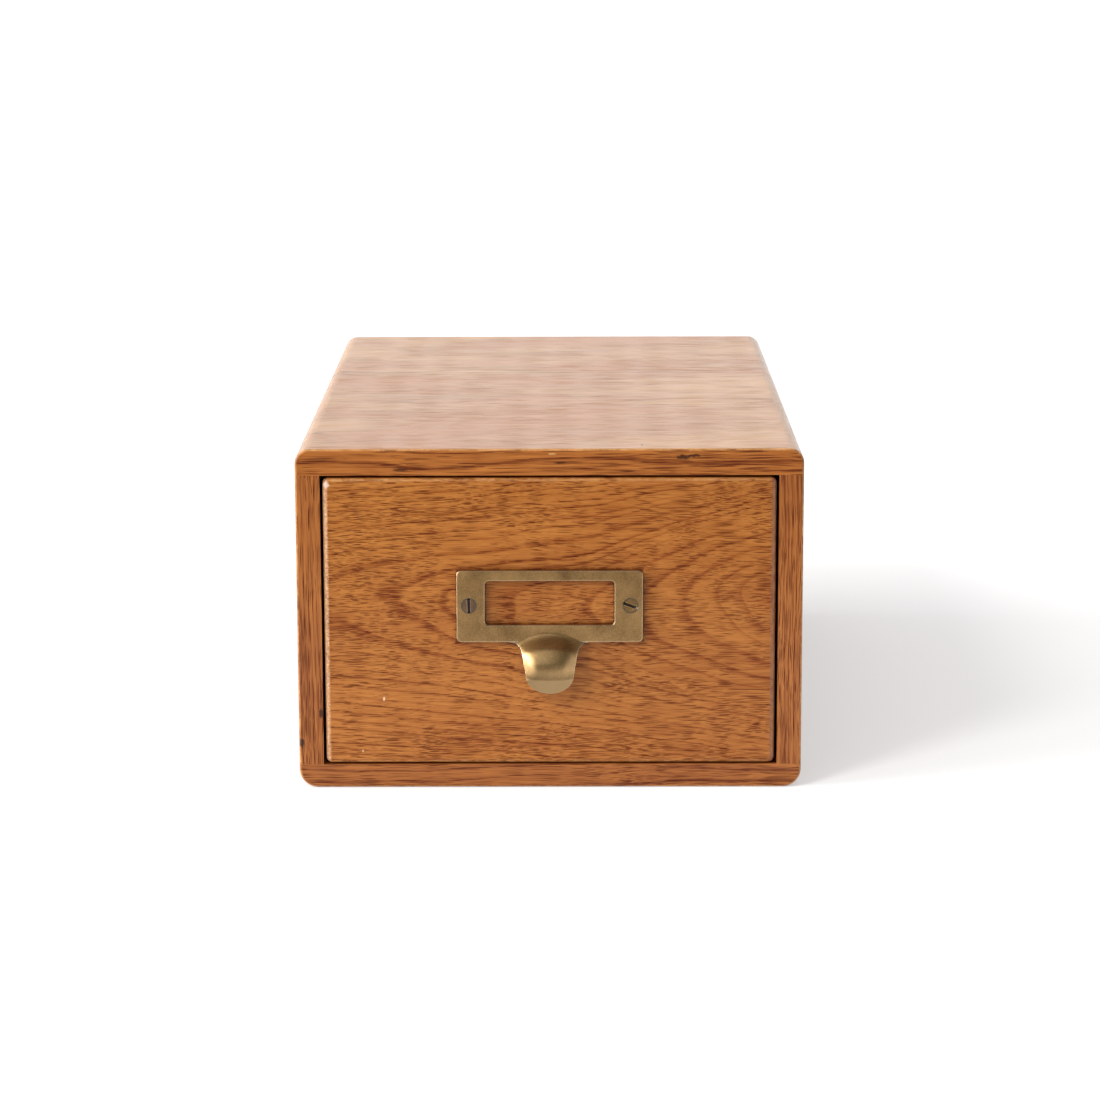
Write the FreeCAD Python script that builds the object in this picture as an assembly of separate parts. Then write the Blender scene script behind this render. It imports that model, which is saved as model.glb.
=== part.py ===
"""Index card drawer: one dovetailed oak tray sliding in a dovetailed oak case.

Millimetres.  The origin is the centre of the case's underside.  +Z is up, the drawer
front faces -Y, and the drawer pulls out along -Y.

The case is four boards whose grain runs round the box.  The side boards carry tails that
are lapped by the top and bottom boards, so the tails show only on the outside of the box.
The tray is a thick front, two scooped sides, a back, and a thin bottom that slides in
grooves and passes under the back.  Two low blocks stop the tray flush with the case, and a
turn button on its back meets a strip under the case's top, so that it can't be pulled right
out.  A leaning follower holds the cards up.  It slides along a slot in the tray's bottom and
is locked by a bolt and wing nut.  A cast brass label frame and pull is screwed to the front.
"""

import FreeCAD
import Part

import math
import os

from FreeCAD import Vector

# ---------------------------------------------------------------- case
case_width = 206.0
case_height = 141.0
case_depth = 335.0
side_board = 10.0
top_board = 10.8
bottom_board = 9.8
top_corner_radius = 6.0
bottom_corner_radius = 7.5
case_arris = 1.2
case_tails = 9
case_pin_width = 16.0
case_lap = 3.5
tail_slope = 1.0 / 6.0

back_thickness = 6.0
back_inset = 1.0
back_overlap = 5.0
back_fit = 0.3
back_screws_per_side = 3
back_screws_across = 3
back_screw_end_margin = 16.0
back_screw_edge = 2.9

# ---------------------------------------------------------------- drawer
front_thickness = 18.0
front_side_gap = 1.0
front_top_gap = 1.0
front_bottom_gap = 0.4
front_edge_round = 2.2
front_corner_round = 2.6
front_lap = 5.0
runner_gap = 0.2
tray_side = 9.0
tray_back = 9.0
tray_top_gap = 0.6
front_tails = 4
rear_tails = 3
tray_pin_width = 9.0
scoop_radius = 20.0
scoop_end_land = 30.0
tray_bottom_thickness = 4.5
tray_bottom_rise = 7.0
groove_depth = 4.5
groove_fit = 0.1
bottom_pins = 4
bottom_pin_margin = 22.0

# ---------------------------------------------------------------- stops
rear_space = 12.0
stop_block_length = 18.0
stop_block_width = 30.0
stop_block_height = 4.5
stop_block_side_gap = 8.0
stop_block_arris = 0.6
stop_gap = 0.3
stop_strip_height = 5.0
stop_strip_depth = 15.0
stop_strip_width = 150.0
stop_strip_setback = 72.5
stop_strip_arris = 1.0
button_length = 40.0
button_width = 13.0
button_thickness = 6.0
button_top_gap = 0.6
button_washer_thickness = 0.8
button_washer_radius = 5.0
button_bore_gap = 0.06
button_end_round = 4.5
button_arris = 0.8

# ---------------------------------------------------------------- follower
follower_width = 150.0
follower_height = 90.0
follower_thickness = 9.0
follower_lean = 12.0
follower_corner_round = 9.0
follower_edge_round = 1.2
follower_gap = 0.2
follower_rear_gap = 2.0
foot_length = 46.0
foot_width = 54.0
foot_height = 20.0
foot_chamfer = 6.0
bolt_from_foot_rear = 18.0
bolt_radius = 2.5
bolt_neck = 6.0
bolt_head_radius = 6.5
bolt_head_height = 2.4
bolt_head_round = 1.7
bolt_end_chamfer = 0.6
bolt_bore_gap = 0.1
bolt_spare_thread = 4.0
slot_side_gap = 0.4
slot_end_gap = 4.0
slot_end_flat = 0.1
follower_travel = 215.0
clamp_length = 34.0
clamp_width = 26.0
clamp_thickness = 2.0
clamp_corner_round = 3.0
foot_washer_radius = 8.0
foot_washer_thickness = 1.2
foot_screw_spread = 34.0
nut_hub_radius = 5.0
nut_hub_top_radius = 4.0
nut_hub_height = 7.0
nut_wing_span = 27.0
nut_wing_rise = 6.5
nut_wing_thickness = 2.4
nut_wing_tip = 4.0
nut_wing_lift = 1.2
nut_seat_gap = 0.05
nut_bore_gap = 0.06

# ---------------------------------------------------------------- label frame and pull
frame_width = 75.8
frame_height = 29.7
frame_thickness = 2.8
frame_corner_radius = 1.9
frame_arris = 0.45
window_width = 52.7
window_height = 18.3
window_from_bottom = 7.1
window_corner_radius = 1.7
pocket_depth = 1.2
pocket_border = 2.6
pull_screw_spacing = 65.7
pull_screw_height = 15.2
pull_below_centre = 8.0

tongue_reach = 6.8
tongue_wall = 1.4
tongue_root = 0.3
arch_height = 3.1
arch_curve = 0.021
arch_fillet = 0.8
shelf_slope = 1.5
nose_softness = 0.35
front_slope = 0.62
front_bend = -6.0
front_softness = 1.1
front_lower_slope = 0.2
tongue_crown = 1.2
tongue_lip_tuck = 0.85
tongue_lip_start = -13.6
tongue_lip_softness = 0.25
tongue_drop = 20.1
tongue_neck = 11.9
tongue_waist = 9.7
tongue_end_height = 7.6
tongue_rim = 0.45
tongue_rim_width = 3.0
tongue_rim_softness = 0.8
tongue_rim_start = -4.5
tongue_overlap = 5.2
skin_margin = 1.0
shoulder_radius = 5.0

# ---------------------------------------------------------------- small fasteners
small_head_radius = 2.2
small_shank_radius = 1.1
small_screw_length = 14.0
pull_head_radius = 3.1
pull_shank_radius = 1.5
pull_screw_length = 13.0
pull_slot_width = 1.2
pivot_head_radius = 4.2
pivot_shank_radius = 1.9
pivot_screw_length = 16.0
pivot_play = 0.1
pin_radius = 0.7
pin_head_radius = 1.5
pin_head_height = 0.7
pin_length = 14.0
screw_slot_width = 0.8
screw_slot_depth = 0.9
pivot_head_height = 2.5

# ---------------------------------------------------------------- derived places
half_width = case_width / 2
half_depth = case_depth / 2
opening_half = half_width - side_board
opening_top = case_height - top_board
opening_bottom = bottom_board
case_front = -half_depth
rebate_depth = back_thickness + back_inset
rebate_shoulder = half_depth - rebate_depth

front_half = opening_half - front_side_gap
front_low = opening_bottom + front_bottom_gap
front_high = opening_top - front_top_gap
front_inner = case_front + front_thickness
tray_low = opening_bottom + runner_gap
tray_high = opening_top - stop_strip_height - tray_top_gap
tray_end = rebate_shoulder - rear_space
tray_inner_half = front_half - tray_side
tray_back_inner = tray_end - tray_back
tray_panel_low = tray_low + tray_bottom_rise
tray_floor = tray_panel_low + tray_bottom_thickness

button_front = tray_end + button_washer_thickness
button_pivot_height = opening_top - button_top_gap - button_length / 2

pull_base = (front_low + front_high) / 2 - pull_below_centre
plate_face = case_front - frame_thickness

foot_rear = tray_back_inner - follower_rear_gap
foot_front = foot_rear - foot_length
foot_low = tray_floor + follower_gap
foot_high = foot_low + foot_height
bolt_y = foot_rear - bolt_from_foot_rear
lean = math.radians(follower_lean)


# ---------------------------------------------------------------- helpers
def box(x0, x1, y0, y1, z0, z1):
    """Block between two corners."""
    return Part.makeBox(x1 - x0, y1 - y0, z1 - z0, Vector(x0, y0, z0))


def plate_yz(outline, x0, x1):
    """Flat piece whose outline lies in the YZ plane, from x0 to x1."""
    points = [Vector(x0, y, z) for y, z in outline]
    face = Part.Face(Part.makePolygon(points + points[:1]))
    return face.extrude(Vector(x1 - x0, 0, 0))


def edges_where(shape, test):
    """Edges whose middle point passes the test."""
    found = []
    for edge in shape.Edges:
        middle = edge.valueAt((edge.FirstParameter + edge.LastParameter) / 2)
        if test(middle, edge):
            found.append(edge)
    return found


def rounded_rectangle_face(cx, cz, width, height, radii, y):
    """Face in the XZ plane with its own radius at each corner: lower left, lower right,
    upper right, upper left."""
    turn = math.sqrt(0.5)
    left, right = cx - width / 2, cx + width / 2
    low, high = cz - height / 2, cz + height / 2
    corners = [
        (left, low, 1, 1, radii[0]),
        (right, low, -1, 1, radii[1]),
        (right, high, -1, -1, radii[2]),
        (left, high, 1, -1, radii[3]),
    ]
    arcs = []
    for index, (x, z, sx, sz, radius) in enumerate(corners):
        on_z = Vector(x, y, z + sz * radius)
        on_x = Vector(x + sx * radius, y, z)
        bulge = radius * (1 - turn)
        middle = Vector(x + sx * bulge, y, z + sz * bulge)
        ends = (on_z, on_x) if index % 2 == 0 else (on_x, on_z)
        arcs.append((ends[0], middle, ends[1]))
    edges = []
    for index, (start, middle, end) in enumerate(arcs):
        edges.append(Part.Arc(start, middle, end).toShape())
        following = arcs[(index + 1) % len(arcs)][0]
        edges.append(Part.LineSegment(end, following).toShape())
    return Part.Face(Part.Wire(edges))


def tails(start, end, count, pin_width, length):
    """(centre, half width at the root, half width at the end) of each dovetail of a row."""
    pitch = (end - start) / count
    root = (pitch - pin_width) / 2
    spread = root + length * tail_slope
    return [(start + pitch * (i + 0.5), root, spread) for i in range(count)]


def turned_to(shape, direction, place):
    """A piece modelled along +Z, laid along a direction and moved to a place."""
    turn = FreeCAD.Rotation(Vector(0, 0, 1), direction)
    shape = shape.copy()
    shape.Placement = FreeCAD.Placement(place, turn)
    return shape


def screw_body(head_radius, shank_radius, length):
    """Countersunk wood screw without its slot.  Its head's face is at z = 0, and it points
    down to -length."""
    head = head_radius - shank_radius
    taper = shank_radius * 1.6
    profile = [
        Vector(0, 0, 0),
        Vector(head_radius, 0, 0),
        Vector(shank_radius, 0, -head),
        Vector(shank_radius, 0, -length + taper),
        Vector(0, 0, -length),
        Vector(0, 0, 0),
    ]
    return Part.Face(Part.makePolygon(profile)).revolve(Vector(0, 0, 0), Vector(0, 0, 1), 360)


def slotted(body, head_radius, angle=0.0, width=screw_slot_width):
    """Cuts a driver slot across the top of a screw that stands along Z with its head at 0."""
    cutter = box(-head_radius, head_radius, -width / 2, width / 2, -screw_slot_depth, head_radius)
    cutter.rotate(Vector(0, 0, 0), Vector(0, 0, 1), angle)
    return body.cut(cutter)


# ---------------------------------------------------------------- case boards
def case_envelope():
    """Outside of the assembled case: long corners rounded, both ends eased."""
    radii = [bottom_corner_radius, bottom_corner_radius, top_corner_radius, top_corner_radius]
    outline = rounded_rectangle_face(0, case_height / 2, case_width, case_height, radii, case_front)
    block = outline.extrude(Vector(0, case_depth, 0))
    ends = edges_where(block, lambda p, e: abs(abs(p.y) - half_depth) < 1e-6)
    return block.makeFillet(case_arris, ends)


def back_rebate():
    """Recess round the rear opening that the back panel is let into."""
    return box(-opening_half - back_overlap, opening_half + back_overlap,
               rebate_shoulder, half_depth + case_arris,
               opening_bottom - back_overlap, opening_top + back_overlap)


def case_side(sign):
    """Side board with vertical grain and a row of tails on each end."""
    rise = top_board - case_lap
    fall = bottom_board - case_lap
    outline = [(case_front, opening_bottom)]
    for centre, root, spread in tails(case_front, half_depth, case_tails, case_pin_width, fall):
        outline += [(centre - root, opening_bottom), (centre - spread, opening_bottom - fall),
                    (centre + spread, opening_bottom - fall), (centre + root, opening_bottom)]
    outline += [(half_depth, opening_bottom), (half_depth, opening_top)]
    for centre, root, spread in reversed(
            tails(case_front, half_depth, case_tails, case_pin_width, rise)):
        outline += [(centre + root, opening_top), (centre + spread, opening_top + rise),
                    (centre - spread, opening_top + rise), (centre - root, opening_top)]
    outline += [(case_front, opening_top)]
    return plate_yz(outline, sign * opening_half, sign * half_width)


def back_screw_places():
    """Where the back panel's screws go: up both sides and along the top and bottom."""
    reach = back_overlap - back_fit - back_screw_edge
    x = opening_half + reach
    low = opening_bottom - reach
    high = opening_top + reach
    places = []
    for i in range(back_screws_per_side):
        share = i / (back_screws_per_side - 1)
        z = low + back_screw_end_margin + share * (high - low - 2 * back_screw_end_margin)
        places += [(-x, z), (x, z)]
    for i in range(back_screws_across):
        share = i / (back_screws_across - 1)
        across = x - back_screw_end_margin
        places += [(-across + share * 2 * across, low), (-across + share * 2 * across, high)]
    return places


def make_case():
    """Top, bottom, two sides, back panel and its screws."""
    envelope = case_envelope()
    rebate = back_rebate()
    raw_sides = {"left": case_side(-1), "right": case_side(1)}
    boards = {}
    for name, side in raw_sides.items():
        boards["case_side_" + name] = side
    spans = {"case_top": (opening_top, case_height), "case_bottom": (0, opening_bottom)}
    for name, (low, high) in spans.items():
        board = box(-half_width, half_width, case_front, half_depth, low, high)
        boards[name] = board.cut(raw_sides["left"]).cut(raw_sides["right"])
    panel_half = opening_half + back_overlap - back_fit
    panel = box(-panel_half, panel_half, rebate_shoulder, rebate_shoulder + back_thickness,
                opening_bottom - back_overlap + back_fit, opening_top + back_overlap - back_fit)
    bodies = [
        turned_to(screw_body(small_head_radius, small_shank_radius, small_screw_length),
                  Vector(0, 1, 0), Vector(x, rebate_shoulder + back_thickness, z))
        for x, z in back_screw_places()
    ]
    holes = Part.makeCompound(bodies)
    boards = {name: b.cut(rebate).common(envelope).cut(holes) for name, b in boards.items()}
    boards["case_back"] = panel.cut(holes)
    screws = []
    for index, (x, z) in enumerate(back_screw_places()):
        body = screw_body(small_head_radius, small_shank_radius, small_screw_length)
        slot_turn = 35.0 * index
        screw = slotted(body, small_head_radius, slot_turn)
        screws.append(turned_to(screw, Vector(0, 1, 0),
                                Vector(x, rebate_shoulder + back_thickness, z)))
    boards["case_back_screws"] = Part.makeCompound(screws)
    return boards


def make_stops():
    """Blocks on the case's floor that the drawer front closes against, and the strip under
    its top that the turn button meets."""
    blocks = []
    reach = tray_inner_half - stop_block_side_gap - stop_block_width / 2
    for centre in (-reach, reach):
        block = box(centre - stop_block_width / 2, centre + stop_block_width / 2,
                    front_inner + stop_gap, front_inner + stop_gap + stop_block_length,
                    opening_bottom, opening_bottom + stop_block_height)
        blocks.append(block.makeChamfer(stop_block_arris, edges_where(
            block, lambda p, e: p.z > opening_bottom + stop_block_height - 1e-6)))
    strip_front = case_front + stop_strip_setback
    strip = box(-stop_strip_width / 2, stop_strip_width / 2,
                strip_front, strip_front + stop_strip_depth,
                opening_top - stop_strip_height, opening_top)
    strip = strip.makeChamfer(stop_strip_arris, edges_where(
        strip, lambda p, e: p.z < opening_top - stop_strip_height + 1e-6 and abs(p.x) < 1e-6))
    return {"closing_stop_blocks": Part.makeCompound(blocks), "opening_stop_strip": strip}


# ---------------------------------------------------------------- drawer tray
def tray_side_blank(sign):
    """Side with scooped top edge, from the drawer front's inner face to the tray's end."""
    r = scoop_radius
    front_turn = front_inner + scoop_end_land
    rear_turn = tray_end - scoop_end_land
    low = tray_high - 2 * r
    turn = math.sqrt(0.5)
    x = sign * tray_inner_half

    def at(y, z):
        return Vector(x, y, z)

    def arc(start, centre, quarter, end):
        middle = (centre[0] + quarter[0] * r * turn, centre[1] + quarter[1] * r * turn)
        return Part.Arc(at(*start), at(*middle), at(*end)).toShape()

    def line(start, end):
        return Part.LineSegment(at(*start), at(*end)).toShape()

    crest_front, knee_front = (front_turn, tray_high), (front_turn + r, tray_high - r)
    foot_of_front = (front_turn + 2 * r, low)
    crest_rear, knee_rear = (rear_turn, tray_high), (rear_turn - r, tray_high - r)
    foot_of_rear = (rear_turn - 2 * r, low)
    edges = [
        line((front_inner, tray_low), (front_inner, tray_high)),
        line((front_inner, tray_high), crest_front),
        arc(crest_front, (front_turn, tray_high - r), (1, 1), knee_front),
        arc(knee_front, (front_turn + 2 * r, tray_high - r), (-1, -1), foot_of_front),
        line(foot_of_front, foot_of_rear),
        arc(foot_of_rear, (rear_turn - 2 * r, tray_high - r), (1, -1), knee_rear),
        arc(knee_rear, (rear_turn, tray_high - r), (-1, 1), crest_rear),
        line(crest_rear, (tray_end, tray_high)),
        line((tray_end, tray_high), (tray_end, tray_low)),
        line((tray_end, tray_low), (front_inner, tray_low)),
    ]
    face = Part.Face(Part.Wire(edges))
    return face.extrude(Vector(sign * tray_side, 0, 0))


def tray_side_with_tails(sign):
    """Tray side: tails into the drawer front, and tails through the back."""
    x0, x1 = sign * tray_inner_half, sign * front_half
    length = front_thickness - front_lap
    side = tray_side_blank(sign)
    for centre, root, spread in tails(tray_low, tray_high, front_tails, tray_pin_width, length):
        tail = [(front_inner, centre - root), (front_inner - length, centre - spread),
                (front_inner - length, centre + spread), (front_inner, centre + root)]
        side = side.fuse(plate_yz(tail, x0, x1))
    pin_zone = plate_yz([(tray_back_inner, tray_floor), (tray_end, tray_floor),
                         (tray_end, tray_high), (tray_back_inner, tray_high)], x0, x1)
    for centre, root, spread in tails(tray_floor, tray_high, rear_tails, tray_pin_width, tray_back):
        tail = [(tray_back_inner, centre - root), (tray_end, centre - spread),
                (tray_end, centre + spread), (tray_back_inner, centre + root)]
        pin_zone = pin_zone.cut(plate_yz(tail, x0, x1))
    return side.cut(pin_zone).removeSplitter()


def tray_panel(allowance):
    """Bottom panel, or its groove when it is given an allowance."""
    inset = groove_depth - groove_fit + allowance
    return box(-tray_inner_half - inset, tray_inner_half + inset,
               front_inner - inset, tray_end, tray_panel_low, tray_floor)


def bottom_slot():
    """Slot in the tray's bottom that the follower's bolt runs in."""
    half = bolt_neck / 2 + slot_side_gap
    front = bolt_y - follower_travel - bolt_neck / 2 - slot_end_gap
    rear = bolt_y + bolt_neck / 2 + slot_end_gap
    slot = box(-half, half, front, rear, tray_panel_low - 1, tray_floor + 1)
    return slot.makeFillet(half - slot_end_flat, edges_where(
        slot, lambda p, e: abs(abs(p.x) - half) < 1e-6
        and abs(p.z - (tray_panel_low + tray_floor) / 2) < 1e-6))


def make_drawer():
    """Front, two sides, back, bottom and the pins that hold the bottom to the back."""
    front = box(-front_half, front_half, case_front, front_inner, front_low, front_high)
    front = front.makeFillet(front_corner_round, edges_where(
        front, lambda p, e: abs(p.y - (case_front + front_inner) / 2) < 1e-6))
    front = front.makeFillet(front_edge_round, edges_where(
        front, lambda p, e: abs(p.y - case_front) < 1e-6))
    groove = tray_panel(groove_fit)
    sides = {}
    for name, sign in (("left", -1), ("right", 1)):
        side = tray_side_with_tails(sign)
        front = front.cut(side)
        sides[name] = side.cut(groove)
    front = front.cut(groove)
    back = box(-front_half, front_half, tray_back_inner, tray_end, tray_floor, tray_high)
    for side in sides.values():
        back = back.cut(side)
    panel = tray_panel(0).cut(bottom_slot())

    pins = []
    span = 2 * (tray_inner_half - bottom_pin_margin)
    for i in range(bottom_pins):
        place = Vector(-span / 2 + span * i / (bottom_pins - 1), tray_end - tray_back / 2,
                       tray_panel_low)
        shank = Part.makeCylinder(pin_radius, pin_length, place)
        head = Part.makeCylinder(pin_head_radius, pin_head_height, place)
        pins.append(shank.fuse(head).removeSplitter())
    hole = Part.makeCompound(pins)
    pieces = {"drawer_side_" + name: side for name, side in sides.items()}
    pieces["drawer_front"] = front
    pieces["drawer_back"] = back.cut(hole)
    pieces["drawer_bottom"] = panel.cut(hole)
    pieces["drawer_bottom_pins"] = hole
    return pieces


# ---------------------------------------------------------------- turn button
def make_button(pieces):
    """Oak turn button, its washer and its round-headed pivot screw, on the drawer's back."""
    pivot = Vector(0, tray_end, button_pivot_height)
    outward = Vector(0, 1, 0)
    bore = pivot_shank_radius + button_bore_gap
    half = button_length / 2
    button = box(-button_width / 2, button_width / 2,
                 button_front, button_front + button_thickness,
                 button_pivot_height - half, button_pivot_height + half)
    button = button.makeFillet(button_end_round, edges_where(
        button, lambda p, e: abs(p.y - button_front - button_thickness / 2) < 1e-6))
    button = button.makeChamfer(button_arris, edges_where(
        button, lambda p, e: p.y > button_front + button_thickness - 1e-6))
    button = button.cut(Part.makeCylinder(bore, button_thickness, pivot + outward * button_washer_thickness,
                                          outward))
    washer = Part.makeCylinder(button_washer_radius, button_washer_thickness, pivot, outward)
    washer = washer.cut(Part.makeCylinder(pivot_shank_radius, button_washer_thickness, pivot, outward))

    head_seat = button_washer_thickness + button_thickness + pivot_play
    head_top = head_seat + pivot_head_height
    sphere_radius = (pivot_head_radius ** 2 + pivot_head_height ** 2) / (2 * pivot_head_height)
    dome = Part.makeSphere(sphere_radius, Vector(0, 0, head_top - sphere_radius))
    dome = dome.common(Part.makeCylinder(pivot_head_radius, pivot_head_height,
                                         Vector(0, 0, head_seat)))
    in_wood = pivot_screw_length - head_seat
    taper = pivot_shank_radius
    profile = [Vector(0, 0, head_seat), Vector(pivot_shank_radius, 0, head_seat),
               Vector(pivot_shank_radius, 0, taper - in_wood), Vector(0, 0, -in_wood),
               Vector(0, 0, head_seat)]
    shank = Part.Face(Part.makePolygon(profile)).revolve(Vector(0, 0, 0), Vector(0, 0, 1), 360)
    screw = shank.fuse(dome).removeSplitter()
    screw.translate(Vector(0, 0, -head_top))
    screw = slotted(screw, pivot_head_radius)
    pieces["button_screw"] = turned_to(screw, outward, pivot + outward * head_top)
    pieces["drawer_back"] = pieces["drawer_back"].cut(turned_to(shank, outward, pivot))
    pieces["button_washer"] = washer
    pieces["turn_button"] = button


# ---------------------------------------------------------------- follower
def make_follower():
    """Leaning card plate on a wedge foot, with its bolt, clamp plate, washer and wing nut."""
    shift = foot_height * math.tan(lean)
    foot = plate_yz([(foot_front, foot_low), (foot_rear, foot_low),
                     (foot_rear, foot_high - foot_chamfer), (foot_rear - foot_chamfer, foot_high),
                     (foot_front + shift, foot_high)], -foot_width / 2, foot_width / 2)

    board = box(-follower_width / 2, follower_width / 2, -follower_thickness, 0, 0, follower_height)
    board = board.makeFillet(follower_corner_round, edges_where(
        board, lambda p, e: abs(p.y + follower_thickness / 2) < 1e-6 and p.z > follower_height - 1e-6))
    half = follower_thickness / 2
    board = board.makeFillet(follower_edge_round, edges_where(
        board, lambda p, e: p.z > follower_corner_round / 2 and abs(abs(p.y + half) - half) < 1e-6))
    board.rotate(Vector(0, 0, 0), Vector(1, 0, 0), -follower_lean)
    board.translate(Vector(0, foot_front, foot_low))
    below = box(-follower_width, follower_width, foot_front - 3 * follower_thickness,
                foot_front + 3 * follower_thickness, foot_low - follower_height, foot_low)
    board = board.cut(below)

    normal = Vector(0, -math.cos(lean), math.sin(lean))
    along = Vector(0, math.sin(lean), math.cos(lean))
    screws, holes = [], []
    for sign in (-1, 1):
        place = (Vector(sign * foot_screw_spread / 2, foot_front, foot_low)
                 + along * (foot_height / 2) + normal * follower_thickness)
        body = screw_body(pull_head_radius, pull_shank_radius, follower_thickness + pull_screw_length)
        holes.append(turned_to(body, normal, place))
        screws.append(turned_to(slotted(body, pull_head_radius, 25.0 * sign), normal, place))
    hole = Part.makeCompound(holes)

    up = Vector(0, 0, 1)
    clamp_top = tray_panel_low - follower_gap
    clamp_low = clamp_top - clamp_thickness
    nut_seat = foot_high + foot_washer_thickness + nut_seat_gap
    bolt_top = nut_seat + nut_hub_height + bolt_spare_thread
    head = Part.makeCylinder(bolt_head_radius, bolt_head_height,
                             Vector(0, bolt_y, clamp_low - bolt_head_height), up)
    head = head.makeFillet(bolt_head_round, edges_where(
        head, lambda p, e: p.z < clamp_low - bolt_head_height + 1e-6))
    neck = box(-bolt_neck / 2, bolt_neck / 2, bolt_y - bolt_neck / 2, bolt_y + bolt_neck / 2,
               clamp_low, tray_floor)
    stem = Part.makeCylinder(bolt_radius, bolt_top - clamp_low, Vector(0, bolt_y, clamp_low), up)
    stem = stem.makeChamfer(bolt_end_chamfer, edges_where(stem, lambda p, e: p.z > bolt_top - 1e-6))
    bolt = head.fuse(neck).fuse(stem).removeSplitter()

    clamp = box(-clamp_width / 2, clamp_width / 2, bolt_y - clamp_length / 2,
                bolt_y + clamp_length / 2, clamp_low, clamp_top)
    clamp = clamp.makeFillet(clamp_corner_round, edges_where(
        clamp, lambda p, e: abs(p.z - (clamp_low + clamp_top) / 2) < 1e-6))
    clamp = clamp.cut(neck)
    bore = Part.makeCylinder(bolt_radius + bolt_bore_gap, foot_height,
                             Vector(0, bolt_y, foot_low), up)
    washer = Part.makeCylinder(foot_washer_radius, foot_washer_thickness,
                               Vector(0, bolt_y, foot_high), up)
    washer = washer.cut(Part.makeCylinder(bolt_radius + bolt_bore_gap, foot_washer_thickness,
                                          Vector(0, bolt_y, foot_high), up))
    return {
        "follower_foot": foot.cut(hole).cut(bore),
        "follower_plate": board.cut(hole),
        "follower_screws": Part.makeCompound(screws),
        "follower_bolt": bolt,
        "follower_clamp_plate": clamp,
        "follower_washer": washer,
        "wing_nut": make_wing_nut(nut_seat),
    }


def make_wing_nut(seat):
    """Tapered hub with two upswept ears, bored for the follower's bolt."""
    centre = Vector(0, bolt_y, seat)
    up = Vector(0, 0, 1)
    hub = Part.makeCone(nut_hub_radius, nut_hub_top_radius, nut_hub_height, centre, up)
    tip = nut_wing_span / 2 - nut_wing_tip
    root = nut_hub_top_radius / 2
    top = nut_hub_height + nut_wing_rise
    turn = math.sqrt(0.5)
    nut = hub
    for sign in (-1, 1):
        def at(x, z, sign=sign):
            return Vector(sign * x, bolt_y - nut_wing_thickness / 2, seat + z)
        crown, side = at(tip, top), at(tip + nut_wing_tip, top - nut_wing_tip)
        wire = Part.Wire([
            Part.Arc(at(root, nut_wing_lift), at(tip, nut_hub_height / 2), side).toShape(),
            Part.Arc(side, at(tip + nut_wing_tip * turn, top - nut_wing_tip * (1 - turn)), crown).toShape(),
            Part.Arc(crown, at(nut_hub_radius, nut_hub_height), at(root, nut_hub_height)).toShape(),
            Part.LineSegment(at(root, nut_hub_height), at(root, nut_wing_lift)).toShape(),
        ])
        nut = nut.fuse(Part.Face(wire).extrude(Vector(0, nut_wing_thickness, 0)))
    bore = Part.makeCylinder(bolt_radius + nut_bore_gap, nut_hub_height, centre, up)
    return nut.cut(bore).removeSplitter()


# ---------------------------------------------------------------- label frame and pull
def soft_ramp(value, softness):
    """Nothing below zero, the value itself above, and a smooth bend between."""
    return softness * math.log1p(math.exp(value / softness))


def tongue_height(x, z, inset):
    """How far the pull stands out from the frame's face, at a place across it (x) and above
    the frame's lower edge (z).  An inset gives the skin behind that face."""
    outward = tongue_root + inset
    reach = tongue_reach - inset + outward
    arch = arch_height - inset - arch_curve * x * x
    nose = arch - reach / shelf_slope
    shelf = shelf_slope * soft_ramp(arch - z, arch_fillet)
    shelf -= (shelf_slope - front_slope) * soft_ramp(nose - z, nose_softness)
    shelf -= (front_slope - front_lower_slope) * soft_ramp(front_bend - z, front_softness)
    stand = min(1.0, shelf / reach)
    taper = (tongue_neck - tongue_waist) / (tongue_drop / 2)
    half = tongue_waist + max(0.0, z + tongue_drop / 2) * taper
    crown = tongue_crown * (x / tongue_waist) ** 2 * stand
    lip = tongue_lip_tuck * soft_ramp(tongue_lip_start - z, tongue_lip_softness)
    low = 1.0 / (1.0 + math.exp(z - tongue_rim_start))
    rim = tongue_rim * soft_ramp(abs(x) - half + tongue_rim_width, tongue_rim_softness) * low
    return shelf - outward - crown - math.hypot(lip, rim)


def tongue_skin(inset, columns=25, rows=31):
    """Smooth surface through the pull's height at a net of places."""
    half = tongue_neck + 2 * shoulder_radius + skin_margin
    low, high = -tongue_drop - skin_margin, tongue_overlap + skin_margin
    net = []
    for i in range(columns):
        x = -half + 2 * half * i / (columns - 1)
        net.append([])
        for j in range(rows):
            z = low + (high - low) * j / (rows - 1)
            net[i].append(Vector(x, plate_face - tongue_height(x, z, inset), pull_base + z))
    skin = Part.BSplineSurface()
    skin.interpolate(net)
    return skin.toShape()


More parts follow.
